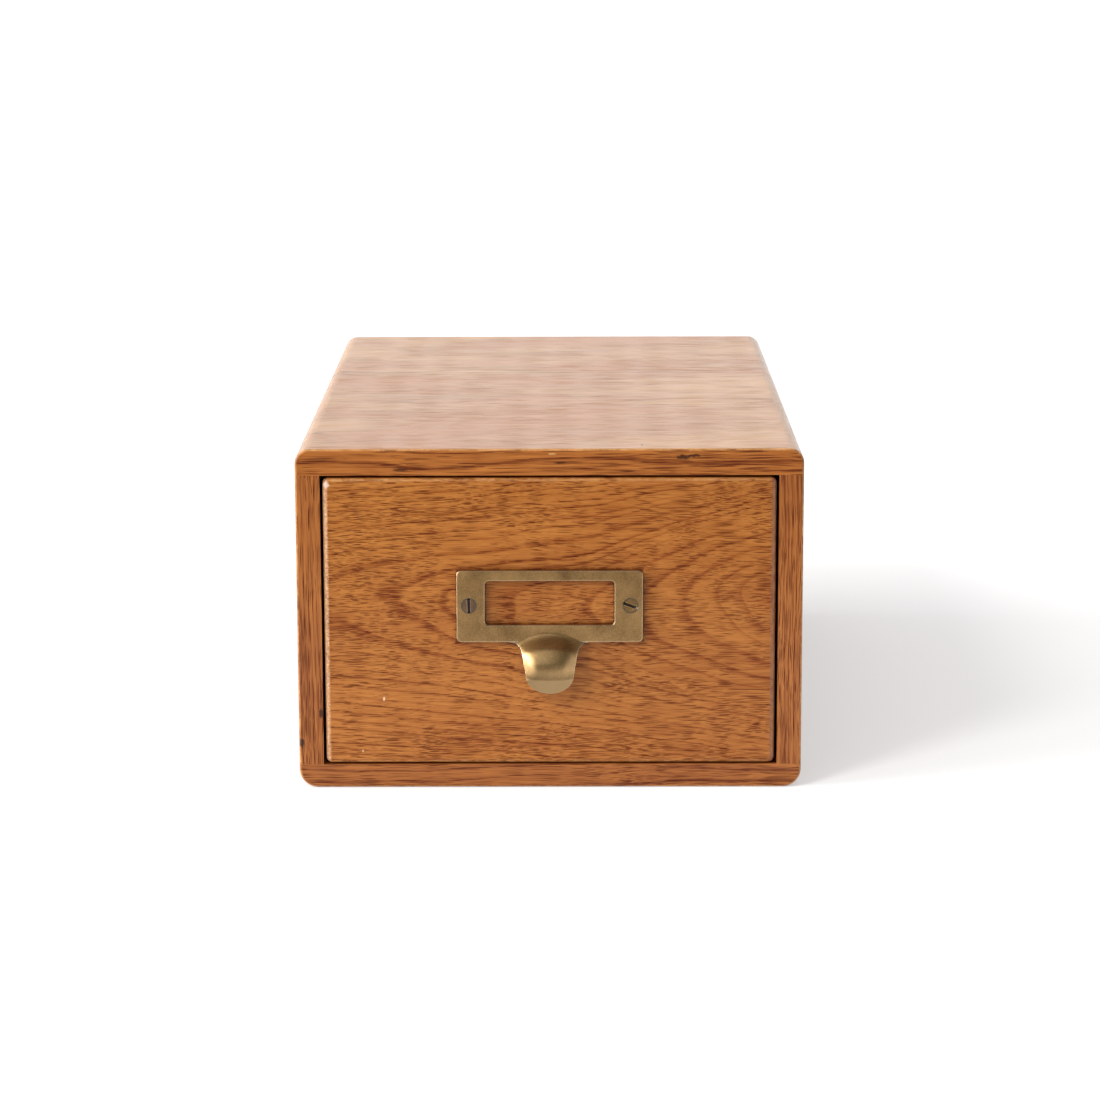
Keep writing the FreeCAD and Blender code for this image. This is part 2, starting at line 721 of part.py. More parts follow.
def tongue_outline():
    """Front outline of the pull: shoulders under the frame, tapering sides, round end."""
    y = plate_face - 2 * tongue_reach
    depth = frame_thickness + 4 * tongue_reach
    end_centre = pull_base - tongue_drop + tongue_end_height
    reach = tongue_neck + 2 * shoulder_radius
    top = pull_base + tongue_overlap
    points = [
        Vector(-tongue_waist, y, end_centre), Vector(-tongue_neck, y, pull_base),
        Vector(-reach, y, pull_base), Vector(-reach, y, top),
        Vector(reach, y, top), Vector(reach, y, pull_base),
        Vector(tongue_neck, y, pull_base), Vector(tongue_waist, y, end_centre),
    ]
    upper = Part.Face(Part.makePolygon(points + points[:1])).extrude(Vector(0, depth, 0))
    upper = upper.makeFillet(shoulder_radius, edges_where(
        upper, lambda p, e: abs(abs(p.x) - tongue_neck) < 1e-6 and abs(p.z - pull_base) < 1e-6))
    oval = Part.Ellipse(Vector(tongue_waist, y, end_centre),
                        Vector(0, y, end_centre - tongue_end_height), Vector(0, y, end_centre))
    end = Part.Face(Part.Wire(oval.toShape())).extrude(Vector(0, depth, 0))
    return upper.fuse(end).removeSplitter()


def make_pull():
    """Cast brass frame with a label pocket behind it and a hooded pull below, and screws."""
    centre_z = pull_base + frame_height / 2
    outer = rounded_rectangle_face(0, centre_z, frame_width, frame_height,
                                   [frame_corner_radius] * 4, plate_face)
    plate = outer.extrude(Vector(0, frame_thickness, 0))
    window_z = pull_base + window_from_bottom + window_height / 2
    window = rounded_rectangle_face(0, window_z, window_width, window_height,
                                    [window_corner_radius] * 4, plate_face - 1)
    plate = plate.cut(window.extrude(Vector(0, frame_thickness + 2, 0)))
    plate = plate.makeFillet(frame_arris, edges_where(
        plate, lambda p, e: abs(p.y - plate_face) < 1e-6))

    outer_skin, inner_skin = tongue_skin(0), tongue_skin(tongue_wall)
    sides = [Part.makeRuledSurface(a, b) for a, b in
             zip(outer_skin.Edges, inner_skin.Edges)]
    shell = Part.makeShell([outer_skin.Faces[0], inner_skin.Faces[0]] + sides)
    sheet = Part.makeSolid(shell)
    if sheet.Volume < 0:
        sheet.reverse()
    tongue = sheet.common(tongue_outline())
    behind = box(-frame_width, frame_width, case_front, case_front + frame_thickness + tongue_reach,
                 pull_base - 2 * tongue_drop, pull_base + frame_height)
    pull = plate.fuse(tongue).cut(behind)
    pocket_half = window_width / 2 + pocket_border
    pocket = box(-pocket_half, pocket_half, case_front - pocket_depth, case_front + 1,
                 pull_base + window_from_bottom - pocket_border, pull_base + frame_height + 1)
    pull = pull.cut(pocket)

    pieces, bodies = {}, []
    for name, sign, angle in (("left", -1, 92.0), ("right", 1, 160.0)):
        place = Vector(sign * pull_screw_spacing / 2, plate_face, pull_base + pull_screw_height)
        body = screw_body(pull_head_radius, pull_shank_radius, pull_screw_length)
        bodies.append(turned_to(body, Vector(0, -1, 0), place))
        screw = slotted(body, pull_head_radius, angle, pull_slot_width)
        pieces["pull_screw_" + name] = turned_to(screw, Vector(0, -1, 0), place)
    holes = Part.makeCompound(bodies)
    pieces["label_pull"] = pull.cut(holes)
    return pieces, holes


def main():
    """Builds every piece and writes each to its own file."""
    parts = make_case()
    parts.update(make_stops())
    parts.update(make_drawer())
    make_button(parts)
    parts.update(make_follower())
    pull_pieces, pull_holes = make_pull()
    parts.update(pull_pieces)
    parts["drawer_front"] = parts["drawer_front"].cut(pull_holes)

    os.makedirs("parts", exist_ok=True)
    for name, shape in parts.items():
        solids = shape.Solids
        if not solids or not all(s.isValid() and s.Volume > 0 for s in solids):
            print("not a sound solid:", name, len(solids), [s.Volume for s in solids])
        whole = solids[0] if len(solids) == 1 else Part.makeCompound(solids)
        whole.exportStep(os.path.join("parts", name + ".step"))


main()
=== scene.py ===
import math

import bmesh
import bpy
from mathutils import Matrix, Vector


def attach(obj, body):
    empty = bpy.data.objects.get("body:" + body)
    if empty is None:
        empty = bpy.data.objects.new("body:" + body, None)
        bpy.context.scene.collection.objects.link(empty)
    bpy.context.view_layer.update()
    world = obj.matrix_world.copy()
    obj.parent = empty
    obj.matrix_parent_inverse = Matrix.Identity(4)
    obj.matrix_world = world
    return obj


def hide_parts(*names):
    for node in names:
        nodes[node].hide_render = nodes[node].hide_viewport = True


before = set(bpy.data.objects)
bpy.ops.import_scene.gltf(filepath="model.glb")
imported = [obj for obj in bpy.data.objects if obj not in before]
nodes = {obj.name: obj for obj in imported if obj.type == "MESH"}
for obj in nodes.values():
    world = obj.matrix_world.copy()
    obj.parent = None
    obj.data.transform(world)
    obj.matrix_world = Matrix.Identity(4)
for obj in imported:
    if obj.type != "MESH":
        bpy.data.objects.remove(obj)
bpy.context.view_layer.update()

# ---------------------------------------------------------------- camera
# A long lens looks down on the front of the box from about a metre and a half away.
camera = bpy.data.objects.new("camera", bpy.data.cameras.new("camera"))
camera.data.lens = 112.74
camera.data.sensor_width = 36.0
camera.data.clip_end = 60.0
camera.location = (0.00768, -1.53782, 0.37414)
camera.rotation_euler = [math.radians(a) for a in (78.665, 0.161, 0.281)]
bpy.context.scene.collection.objects.link(camera)
bpy.context.scene.camera = camera


# ---------------------------------------------------------------- studio
# A matt white table in a white room that is dimmer behind the camera, and one broad soft lamp
# at the front left, which throws a pale shadow back and to the right.
def colour(code):
    """Linear RGBA of an sRGB hex value."""
    channels = [int(code[i:i + 2], 16) / 255 for i in (1, 3, 5)]
    return [c / 12.92 if c < 0.04 else ((c + 0.055) / 1.055) ** 2.4 for c in channels] + [1.0]


def add(tree, kind, inputs=None, **settings):
    """Adds a node with its settings.  An input takes a value, another node's output, or a node,
    which stands for its first output in use.  A Mix of colours takes them as inputs 6 and 7."""
    made = tree.nodes.new(kind)
    for name, value in settings.items():
        setattr(made, name, value)
    for name, value in (inputs or {}).items():
        if isinstance(value, bpy.types.Node):
            value = next(output for output in value.outputs if output.enabled)
        if isinstance(value, bpy.types.NodeSocket):
            tree.links.new(value, made.inputs[name])
        else:
            made.inputs[name].default_value = value
    return made


bpy.context.scene.view_settings.view_transform = "Standard"
lamp = bpy.data.objects.new("soft_lamp", bpy.data.lights.new("soft_lamp", "SUN"))
lamp.data.energy = 1.1
lamp.data.angle = math.radians(15)
lamp.data.color = (1.0, 0.985, 0.965)
lamp.rotation_euler = Vector((0.54, 0.61, -0.58)).to_track_quat("-Z", "Y").to_euler()
lamp.visible_glossy = False
bpy.context.scene.collection.objects.link(lamp)

room = bpy.data.worlds.new("white_room")
room.use_nodes = True
tree = room.node_tree
tree.nodes.clear()
ray = add(tree, "ShaderNodeTexCoord").outputs["Generated"]
part = add(tree, "ShaderNodeSeparateXYZ", {0: ray})
path = add(tree, "ShaderNodeLightPath")
# Matt surfaces get light that grows from behind the camera to behind the box.
matt = add(tree, "ShaderNodeMapRange", {0: part.outputs["Y"], 1: -1.0, 2: 0.4, 3: 0.24, 4: 0.88})
# Gloss sees a dim room, with bright walls at both sides and behind the box.
beside = add(tree, "ShaderNodeMath", {0: part.outputs["X"]}, operation="ABSOLUTE")
beside = add(tree, "ShaderNodeMapRange", {0: beside, 1: 0.6, 2: 0.97})
behind = add(tree, "ShaderNodeMapRange", {0: part.outputs["Y"], 1: 0.0, 2: 0.5})
walls = add(tree, "ShaderNodeMath", {0: beside, 1: behind}, operation="MAXIMUM")
seen_in_gloss = add(tree, "ShaderNodeMapRange", {0: walls, 3: 0.17, 4: 0.95})
shiny = add(tree, "ShaderNodeMath", {0: path.outputs["Is Glossy Ray"],
                                     1: path.outputs["Is Transmission Ray"]}, operation="MAXIMUM")
level = add(tree, "ShaderNodeMix", {0: shiny, 2: matt, 3: seen_in_gloss})
# Both get two windows as well: a small bright one at the left, and a broad faint one high up in
# front.
for towards, inner, outer, strength in (((-0.955, -0.17, 0.24), 0.998, 0.89, 11.0),
                                        ((-0.30, -0.60, 0.74), 0.97, 0.82, 0.8)):
    aim = add(tree, "ShaderNodeVectorMath", {0: ray, 1: towards}, operation="DOT_PRODUCT")
    window = add(tree, "ShaderNodeMapRange", {0: aim, 1: outer, 2: inner, 3: 0.0, 4: strength},
                 interpolation_type="SMOOTHSTEP")
    level = add(tree, "ShaderNodeMath", {0: level, 1: window}, operation="ADD")
level = add(tree, "ShaderNodeMix", {0: path.outputs["Is Camera Ray"], 2: level, 3: 1.0})
light = add(tree, "ShaderNodeBackground", {0: (1.0, 1.0, 1.0, 1.0), 1: level})
add(tree, "ShaderNodeOutputWorld", {0: light})
bpy.context.scene.world = room

bpy.ops.object.select_all(action="DESELECT")
bpy.ops.mesh.primitive_plane_add(size=60.0, location=(0, 29.44, -0.0002))
table = bpy.context.object
table.name = "table"
paint = bpy.data.materials.new("matt white table paint")
paint.use_nodes = True
tree = paint.node_tree
tree.nodes.clear()
# Chalky paint, flat white, which glows a little where it is seen or mirrored, and not where it
# lights the box.
coat = add(tree, "ShaderNodeBsdfDiffuse", {"Color": colour("#FBFBFB"), "Roughness": 0.5})
glow = add(tree, "ShaderNodeEmission", {"Color": (1.0, 1.0, 1.0, 1.0), "Strength": 1.0})
path = add(tree, "ShaderNodeLightPath")
share = add(tree, "ShaderNodeMath", {0: path.outputs["Is Camera Ray"],
                                     1: path.outputs["Is Glossy Ray"]}, operation="ADD")
share = add(tree, "ShaderNodeMath", {0: share, 1: path.outputs["Is Transmission Ray"]},
            operation="ADD")
share = add(tree, "ShaderNodeMath", {0: share, 1: 0.42}, operation="MULTIPLY", use_clamp=True)
both = add(tree, "ShaderNodeMixShader", {0: share, 1: coat, 2: glow})
add(tree, "ShaderNodeOutputMaterial", {0: both})
table.data.materials.append(paint)


# ---------------------------------------------------------------- case boards
# Four solid oak boards, dovetailed at the long corners, stained golden brown and varnished.
# The top and bottom run across the box, and the sides run up and down.  Age has faded the top, and
# it is painted paler for sheen as well.
#
# Oak is ring-porous.  Each year's growth starts with rows of wide pores, which a saw opens into
# dark dashes along the grain, and ends in dense, smooth wood.  The rings lie as they grew, as
# rough cylinders about a pith, so a board shows arches on its face, lines on its edges and dots
# on its end grain, wherever it is cut.
GOLD, BROWN, PORE = "#B06C33", "#783C1A", "#54200A"
WORN_EDGE, END_GRAIN = "#DDA468", "#7C4824"
SECOND_BOARD = (170.0, -95.0, 12.0)  # millimetres from the first board's place in the trunk


def oak(name, turn, pith, light_wood=GOLD, dark_wood=BROWN, pore=PORE, ring=2.0, wander=5.0,
        swell=0.0, coarse=1.0, gloss=1.0, end_wood=END_GRAIN, faded_and_sheen=None, seam=None, marks=None):
    """Oak whose grain runs along X after a turn in degrees, with its pith (mm) from the frame's
    origin in the turned directions.  Its rings are ring millimetres apart, in a band of bends
    wander millimetres wide, and swell is how far they rise at the right.  coarse enlarges the
    pores, gloss is the cover of varnish, faded is the paler colour its upper face is given, for
    fading and as painted sheen, seam is where a second board is glued on, in metres back from
    the middle, and marks adds stains, nicks and, on some boards, painted light and shade."""
    material = bpy.data.materials.new(name)
    material.use_nodes = True
    t = material.node_tree
    t.nodes.clear()
    angles = [math.radians(a) for a in turn]
    coords = add(t, "ShaderNodeTexCoord")
    place, normal = coords.outputs["Object"], coords.outputs["Normal"]
    wood = add(t, "ShaderNodeMapping", {"Vector": place, "Scale": (1000.0,) * 3,
                                        "Rotation": angles, "Location": pith})
    if seam is not None:
        back = add(t, "ShaderNodeSeparateXYZ", {0: place}).outputs["Y"]
        back = add(t, "ShaderNodeMath", {0: back, 1: seam}, operation="GREATER_THAN")
        shift = add(t, "ShaderNodeVectorMath", {0: back, 1: SECOND_BOARD}, operation="MULTIPLY")
        wood = add(t, "ShaderNodeVectorMath", {0: wood, 1: shift})
    facing = add(t, "ShaderNodeMapping", {"Vector": normal, "Rotation": angles},
                 vector_type="VECTOR")
    facing = add(t, "ShaderNodeSeparateXYZ", {0: facing}).outputs["X"]
    facing = add(t, "ShaderNodeMath", {0: facing}, operation="ABSOLUTE")
    end_grain = add(t, "ShaderNodeMapRange", {0: facing, 1: 0.15, 2: 0.7, 4: 0.6})

    def drawn_out(point, along, across, detail, roughness=0.5):
        """Noise drawn out along the grain, with so many patches per millimetre each way."""
        point = add(t, "ShaderNodeVectorMath", {0: point, 1: (along, across, across)},
                    operation="MULTIPLY")
        return add(t, "ShaderNodeTexNoise", {"Vector": point, "Scale": 1.0, "Detail": detail,
                                             "Roughness": roughness})

    def sideways(point, along, across, reach):
        """A drift across the grain, by up to half of reach, in millimetres, to either side."""
        drift = drawn_out(point, along, across, 1.0).outputs["Color"]
        drift = add(t, "ShaderNodeVectorMath", {0: drift, 1: (-0.5, -0.5, -0.5)})
        return add(t, "ShaderNodeVectorMath", {0: drift, 1: (0.0, reach, reach)},
                   operation="MULTIPLY")

    # The trunk's slow bends, and the smaller waves of its fibres.
    sway = sideways(wood, 0.009, 0.02, wander)
    fibre = add(t, "ShaderNodeVectorMath", {0: wood, 1: sideways(wood, 0.022, 0.05, 2.2)})

    def early_at(point):
        """How far a point is in the year's first growth, which holds the wide pores."""
        radius = add(t, "ShaderNodeVectorMath", {0: point, 1: sway})
        radius = add(t, "ShaderNodeVectorMath", {0: radius, 1: (0.0, 1.0, 1.0)},
                     operation="MULTIPLY")
        radius = add(t, "ShaderNodeVectorMath", {0: radius}, operation="LENGTH")
        rise = add(t, "ShaderNodeSeparateXYZ", {0: point}).outputs["X"]
        rise = add(t, "ShaderNodeMapRange", {0: rise, 1: 25.0, 2: 95.0, 3: 0.0, 4: swell})
        radius = add(t, "ShaderNodeMath", {0: radius, 1: rise}, operation="SUBTRACT")
        years = add(t, "ShaderNodeMath", {0: radius, 1: ring}, operation="DIVIDE")
        pace = add(t, "ShaderNodeTexNoise", {"W": years, "Scale": 0.3, "Detail": 2.0},
                   noise_dimensions="1D")
        years = add(t, "ShaderNodeMath", {0: pace, 1: 1.6, 2: years}, operation="MULTIPLY_ADD")
        season = add(t, "ShaderNodeMath", {0: years}, operation="FRACT")
        growth = add(t, "ShaderNodeValToRGB", {0: season})
        growth.color_ramp.elements[0].color = (1, 1, 1, 1)
        growth.color_ramp.elements[1].position = 0.93
        growth.color_ramp.elements[1].color = (0, 0, 0, 1)
        for position, grey in ((0.10, 0.9), (0.20, 0.3), (0.45, 0.0), (1.0, 0.9)):
            growth.color_ramp.elements.new(position).color = (grey, grey, grey, 1)
        year = add(t, "ShaderNodeMath", {0: years}, operation="FLOOR")
        rain = add(t, "ShaderNodeTexWhiteNoise", {"W": year}, noise_dimensions="1D")
        rain = add(t, "ShaderNodeMapRange", {0: rain.outputs["Value"], 1: 0.0, 2: 0.6, 3: 0.5,
                                             4: 1.0})
        return add(t, "ShaderNodeMath", {0: growth, 1: rain}, operation="MULTIPLY")

    # Broad patches of colour, streaks about a millimetre wide, fibres, drawn as bundles of
    # 0.4 mm so that they show, and early growth, which takes more stain.
    broad = drawn_out(fibre, 0.012, 0.04, 3.0)
    streak = drawn_out(fibre, 0.025, 0.7, 3.0, 0.65)
    hair = drawn_out(fibre, 0.06, 2.4, 2.0, 0.7)
    tone = add(t, "ShaderNodeMath", {0: streak, 1: 1.4, 2: -1.65}, operation="MULTIPLY_ADD")
    for pattern, share in ((broad, 1.0), (hair, 1.5), (early_at(fibre), 0.55)):
        tone = add(t, "ShaderNodeMath", {0: pattern, 1: share, 2: tone},
                   operation="MULTIPLY_ADD")
    body = add(t, "ShaderNodeMix", {0: tone, 6: colour(light_wood), 7: colour(dark_wood)},
               data_type="RGBA")
    body = add(t, "ShaderNodeMix", {0: end_grain, 6: body, 7: colour(end_wood)},
               data_type="RGBA")

    # Open pores, as spindles along the fibres.  One is there if its own middle lies where pores
    # are, and if chance has it.  The wide ones are up to a third of a millimetre across, as in
    # real oak.  The thin ones, which are far finer there, are drawn nearly as wide to show.
    def spindles(length, width, reach, share_at):
        """How far inside a spindle a point is, as a share of its cell of length by width (mm)."""
        size = [side * coarse for side in (length, width, width)]
        cells = add(t, "ShaderNodeVectorMath", {0: fibre, 1: [1.0 / side for side in size]},
                    operation="MULTIPLY")
        cells = add(t, "ShaderNodeTexVoronoi", {"Vector": cells, "Scale": 1.0})
        middle = add(t, "ShaderNodeVectorMath", {0: cells.outputs["Position"], 1: size},
                     operation="MULTIPLY")
        luck = add(t, "ShaderNodeSeparateColor", {0: cells.outputs["Color"]}).outputs["Red"]
        edge = add(t, "ShaderNodeMath", {0: share_at(middle), 1: luck}, operation="SUBTRACT")
        edge = add(t, "ShaderNodeMapRange", {0: edge, 1: -0.15, 2: 0.35, 3: 0.0, 4: reach})
        return add(t, "ShaderNodeMath", {0: edge, 1: cells.outputs["Distance"]},
                   operation="SUBTRACT")

    def patch_at(point):
        """Where the small pores of the later growth lie thicker."""
        return add(t, "ShaderNodeMapRange", {0: drawn_out(point, 0.012, 0.10, 2.0), 1: 0.34,
                                             2: 0.62, 3: 0.35, 4: 1.0})

    wide = add(t, "ShaderNodeMapRange", {0: spindles(11.0, 0.32, 0.53, early_at), 1: 0.0,
                                         2: 0.14, 3: 0.0, 4: 0.95})
    thin = add(t, "ShaderNodeMapRange", {0: spindles(15.0, 0.26, 0.50, patch_at), 1: 0.0,
                                         2: 0.14, 3: 0.0, 4: 0.9})
    pores = add(t, "ShaderNodeMath", {0: wide, 1: thin}, operation="MAXIMUM")
    wood_colour = add(t, "ShaderNodeMix", {0: pores, 6: body, 7: colour(pore)}, data_type="RGBA")

    # Edges, where hands have worn the varnish off in places.
    if gloss:
        side = add(t, "ShaderNodeVectorMath", {0: normal}, operation="ABSOLUTE")
        side = add(t, "ShaderNodeSeparateXYZ", {0: side})
        flat = add(t, "ShaderNodeMath", {0: side.outputs[0], 1: side.outputs[1]},
                   operation="MAXIMUM")
        flat = add(t, "ShaderNodeMath", {0: flat, 1: side.outputs[2]}, operation="MAXIMUM")
        edges = add(t, "ShaderNodeMapRange", {0: flat, 1: 0.985, 2: 0.85, 3: 0.0, 4: gloss})
        wear = add(t, "ShaderNodeTexNoise", {"Vector": place, "Scale": 260.0, "Detail": 3.0,
                                             "Roughness": 0.6})
        wear = add(t, "ShaderNodeMapRange", {0: wear, 1: 0.36, 2: 0.66, 3: 0.1, 4: 0.7})
        wear = add(t, "ShaderNodeMath", {0: wear, 1: edges}, operation="MULTIPLY")
        wood_colour = add(t, "ShaderNodeMix", {0: wear, 6: wood_colour, 7: colour(WORN_EDGE)},
                      data_type="RGBA")
    # The upper face is painted paler, partly for fading and partly as painted sheen.
    if faded_and_sheen:
        up = add(t, "ShaderNodeSeparateXYZ", {0: normal}).outputs["Z"]
        up = add(t, "ShaderNodeMapRange", {0: up, 1: 0.5, 2: 0.98, 3: 0.0, 4: 0.2})
        wood_colour = add(t, "ShaderNodeMix", {0: up, 6: wood_colour, 7: colour(faded_and_sheen)},
                      data_type="RGBA")
    if marks:
        wood_colour = marks(t, place, wood_colour)

    # Pores are sunk by about a tenth of a millimetre, rough inside, and break the varnish.
    relief = add(t, "ShaderNodeMath", {0: streak, 1: 0.4}, operation="MULTIPLY")
    relief = add(t, "ShaderNodeMath", {0: relief, 1: pores}, operation="SUBTRACT")
    relief = add(t, "ShaderNodeBump", {"Height": relief, "Strength": 0.5, "Distance": 0.00012})
    rough = add(t, "ShaderNodeMath", {0: pores, 1: 0.2, 2: 0.36}, operation="MULTIPLY_ADD")
    rough = add(t, "ShaderNodeMath", {0: streak, 1: 0.16, 2: rough}, operation="MULTIPLY_ADD")
    finish = {"Base Color": wood_colour, "Roughness": rough, "Normal": relief, "IOR": 1.2,
              "Coat IOR": 1.3, "Coat Roughness": 0.22}
    if gloss:
        finish["Coat Weight"] = add(t, "ShaderNodeMath", {0: pores, 1: -0.8 * gloss, 2: gloss},
                                    operation="MULTIPLY_ADD")
    shader = add(t, "ShaderNodeBsdfPrincipled", finish)
    add(t, "ShaderNodeOutputMaterial", {0: shader})
    return material


def dress(material, *names):
    """Gives CAD nodes a finish."""
    for name in names:
        for slot in nodes[name].material_slots:
            slot.material = material


def spot(t, place, base, centre, size, code, strength=0.9, ragged=0.0):
    """A stain, nick or scratch: an oval spot of another colour, in millimetres."""
    gap = add(t, "ShaderNodeVectorMath", {0: place, 1: [c / 1000 for c in centre]},
              operation="SUBTRACT")
    gap = add(t, "ShaderNodeVectorMath", {0: gap, 1: [1000 / c for c in size]},
              operation="MULTIPLY")
    gap = add(t, "ShaderNodeVectorMath", {0: gap}, operation="LENGTH")
    fray = add(t, "ShaderNodeTexNoise", {"Vector": place, "Scale": 900.0, "Detail": 3.0})
    gap = add(t, "ShaderNodeMath", {0: fray, 1: ragged, 2: gap}, operation="MULTIPLY_ADD")
    inside = add(t, "ShaderNodeMapRange", {0: gap, 1: 0.5 + ragged / 2, 2: 1.0 + ragged / 2,
                                           3: strength, 4: 0.0})
    return add(t, "ShaderNodeMix", {0: inside, 6: base, 7: colour(code)}, data_type="RGBA")


def top_marks(t, place, base):
    """The top's paler and more orange patches, for fading and as painted sheen, the glue line
    between its boards, and damage.
    """
    up = add(t, "ShaderNodeTexCoord").outputs["Normal"]
    up = add(t, "ShaderNodeSeparateXYZ", {0: up}).outputs["Z"]
    up = add(t, "ShaderNodeMapRange", {0: up, 1: 0.8, 2: 0.98, 3: 0.0, 4: 0.4})
    # Patches on the upper face, paler and more orange, stand partly for fading and partly for
    # painted sheen.
    fade_and_sheen_patches = add(t, "ShaderNodeVectorMath", {0: place, 1: (10.0, 18.0, 18.0)}, operation="MULTIPLY")
    fade_and_sheen_patches = add(t, "ShaderNodeTexNoise", {"Vector": fade_and_sheen_patches, "Scale": 1.0, "Detail": 4.0,
                                        "Roughness": 0.6})
    for low, high, code in ((0.46, 0.66, "#E8B478"), (0.52, 0.36, "#C0702A")):
        share = add(t, "ShaderNodeMapRange", {0: fade_and_sheen_patches, 1: low, 2: high})
        share = add(t, "ShaderNodeMath", {0: share, 1: up}, operation="MULTIPLY")
        base = add(t, "ShaderNodeMix", {0: share, 6: base, 7: colour(code)}, data_type="RGBA")
    off = add(t, "ShaderNodeSeparateXYZ", {0: place}).outputs["Y"]
    off = add(t, "ShaderNodeMath", {0: off, 1: TOP_SEAM}, operation="SUBTRACT")
    off = add(t, "ShaderNodeMath", {0: off}, operation="ABSOLUTE")
    line = add(t, "ShaderNodeMapRange", {0: off, 1: 0.0002, 2: 0.0010, 3: 0.55, 4: 0.0})
    base = add(t, "ShaderNodeMix", {0: line, 6: base, 7: colour("#4A2410")}, data_type="RGBA")
    for centre, size, code, strength, ragged in (
            ((-97.0, -127.0, 141.0), (4.6, 1.1, 2.0), "#3A1A0A", 0.85, 0.3),
            ((37.6, -158.3, 141.0), (0.6, 1.3, 1.0), "#120A06", 1.0, 0.0),
            ((54.0, -167.5, 137.6), (4.0, 3.0, 1.2), "#20120A", 0.85, 1.2),
            ((58.8, -167.5, 138.2), (3.0, 3.0, 0.8), "#2A160A", 0.8, 1.2),
            ((4.3, -167.5, 135.3), (3.0, 3.0, 0.6), "#2A160A", 0.7, 1.0),
            ((-60.3, -167.5, 132.5), (3.5, 3.0, 0.7), "#2A160A", 0.7, 1.0),
            ((1.1, -167.5, 139.0), (2.0, 3.0, 0.5), "#DDAA72", 0.6, 0.6)):
        base = spot(t, place, base, centre, size, code, strength, ragged)
    return base


def left_marks(t, place, base):
    """Two black stains low on the left board."""
    base = spot(t, place, base, (-101.8, -167.5, 18.8), (1.4, 3.0, 2.6), "#20140E", 0.85, 1.0)
    return spot(t, place, base, (-93.8, -167.5, 31.5), (1.1, 3.0, 2.4), "#20140E", 0.85, 1.0)


# The top's pores are drawn a third larger than real, because it is mostly seen at a slant.
TOP_SEAM = 0.044
dress(oak("varnished oak, top board", (0, 0, 0), (0, 40, -190), "#B87133", "#7E4018", coarse=1.3,
          faded_and_sheen="#F0C07A", seam=TOP_SEAM, marks=top_marks), "case_top")
dress(oak("varnished oak, bottom board", (0, 0, 1), (300, 25, 60)), "case_bottom")
dress(oak("varnished oak, left board", (0, 90, 0), (100, 190, 150), marks=left_marks),
      "case_side_left")
dress(oak("varnished oak, right board", (0, 90, 0), (-200, 170, -150)), "case_side_right")

# ---------------------------------------------------------------- drawer front
# One flat-sawn oak board, set flush between the case boards, with its edges rounded.  It was
# cut a little out of line with its pith, so its rings arch across the middle, open to the right.
FRAME_X, FRAME_LOW, FRAME_HIGH = 0.0379, 0.0617, 0.0914
WINDOW_X, WINDOW_LOW, WINDOW_HIGH = 0.02635, 0.0688, 0.0871
FRONT_END, WOOD_FACE = 0.092, -0.1675


